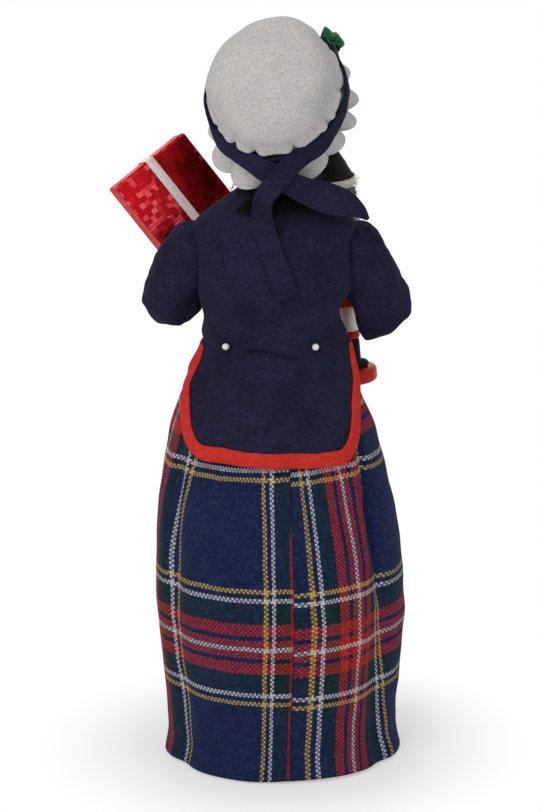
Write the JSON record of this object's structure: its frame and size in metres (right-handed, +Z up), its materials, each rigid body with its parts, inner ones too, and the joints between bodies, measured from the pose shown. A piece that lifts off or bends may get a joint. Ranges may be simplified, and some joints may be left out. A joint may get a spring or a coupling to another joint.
{
  "type": "caroler figurine",
  "caption": "Standing caroler figurine in a tartan skirt, felt jacket and ruffled cap, holding a wrapped gift and a toy nutcracker; head, arms and nutcracker jaw move.",
  "frame": {"origin": "centre of the wooden base disc's underside", "axes": "+Z up, the figure faces -Y, its left hand is towards +X"},
  "size_m": [0.1308, 0.1176, 0.3294],
  "materials": {
    "tartan_wool": "woven wool tartan",
    "steel_wire": "drawn wire",
    "base_wood": "sanded",
    "packing_paper": "matte",
    "navy_felt": "wool felt",
    "red_felt": "wool felt",
    "grey_felt": "wool felt",
    "pearl": "pearl",
    "painted_clay": "matte paint",
    "mohair": "curled fibre",
    "holly_green": "waxy",
    "berry_red": "gloss",
    "red_foil": "metallic foil paper",
    "white_satin": "satin",
    "toy_red": "gloss paint",
    "toy_black": "gloss paint",
    "toy_white": "gloss paint",
    "toy_skin": "satin paint",
    "dark_fur": "fur",
    "white_fur": "fur"
  },
  "bodies": {
    "torso": {"skirt": "tartan_wool", "frame_wire": "steel_wire", "base_disc": "base_wood", "skirt_stuffing": "packing_paper", "torso_stuffing": "packing_paper", "jacket_back": "navy_felt", "jacket_front_left": "navy_felt", "jacket_front_right": "navy_felt", "binding_back": "red_felt", "binding_front_left": "red_felt", "binding_front_right": "red_felt", "waist_pin_left": "pearl", "waist_pin_right": "pearl", "front_pin_low": "pearl", "front_pin_high": "pearl"},
    "head": {"head": "painted_clay", "hair": "mohair", "cap_crown": "grey_felt", "cap_ruffle": "grey_felt", "cap_band": "navy_felt", "band_tail_back": "navy_felt", "band_tail_shoulder": "navy_felt", "holly_leaf_low": "holly_green", "holly_leaf_back": "holly_green", "holly_leaf_front": "holly_green", "holly_berry_left": "berry_red", "holly_berry_right": "berry_red"},
    "left_arm": {"left_arm_wire": "steel_wire", "left_sleeve": "navy_felt", "left_mitten": "red_felt", "gift_box": "red_foil", "gift_ribbon": "white_satin", "gift_bow": "white_satin"},
    "right_arm": {"right_arm_wire": "steel_wire", "right_sleeve": "navy_felt", "right_mitten": "red_felt", "toy_base": "toy_red", "toy_left_boot": "toy_black", "toy_right_boot": "toy_black", "toy_left_leg": "toy_white", "toy_right_leg": "toy_white", "toy_coat": "toy_red", "toy_belt": "toy_black", "toy_left_arm": "toy_red", "toy_right_arm": "toy_red", "toy_head": "toy_skin", "toy_pin": "steel_wire", "toy_hair": "dark_fur", "toy_hat_band": "white_fur", "toy_hat": "toy_black"},
    "nutcracker_lever": {"toy_lever": "toy_red", "toy_beard": "white_fur"}
  },
  "joints": [
    {"name": "head_turn", "type": "hinge", "parent": "torso", "child": "head", "pos_m": [0, 0, 0.256], "axis": [0, 0, 1], "range_deg": [-15, 15]},
    {"name": "left_arm_swing", "type": "hinge", "parent": "torso", "child": "left_arm", "pos_m": [0.031, -0.003, 0.236], "axis": [-0.4512, 0.1219, 0.8841], "range_deg": [0, 25]},
    {"name": "right_arm_swing", "type": "hinge", "parent": "torso", "child": "right_arm", "pos_m": [-0.031, -0.003, 0.236], "axis": [-0.3738, -0.101, -0.922], "range_deg": [0, 25]},
    {"name": "nutcracker_jaw", "type": "hinge", "parent": "right_arm", "child": "nutcracker_lever", "pos_m": [-0.02722, -0.0452, 0.23242], "axis": [0.4213, -0.9063, -0.0332], "range_deg": [0, 18]}
  ]
}
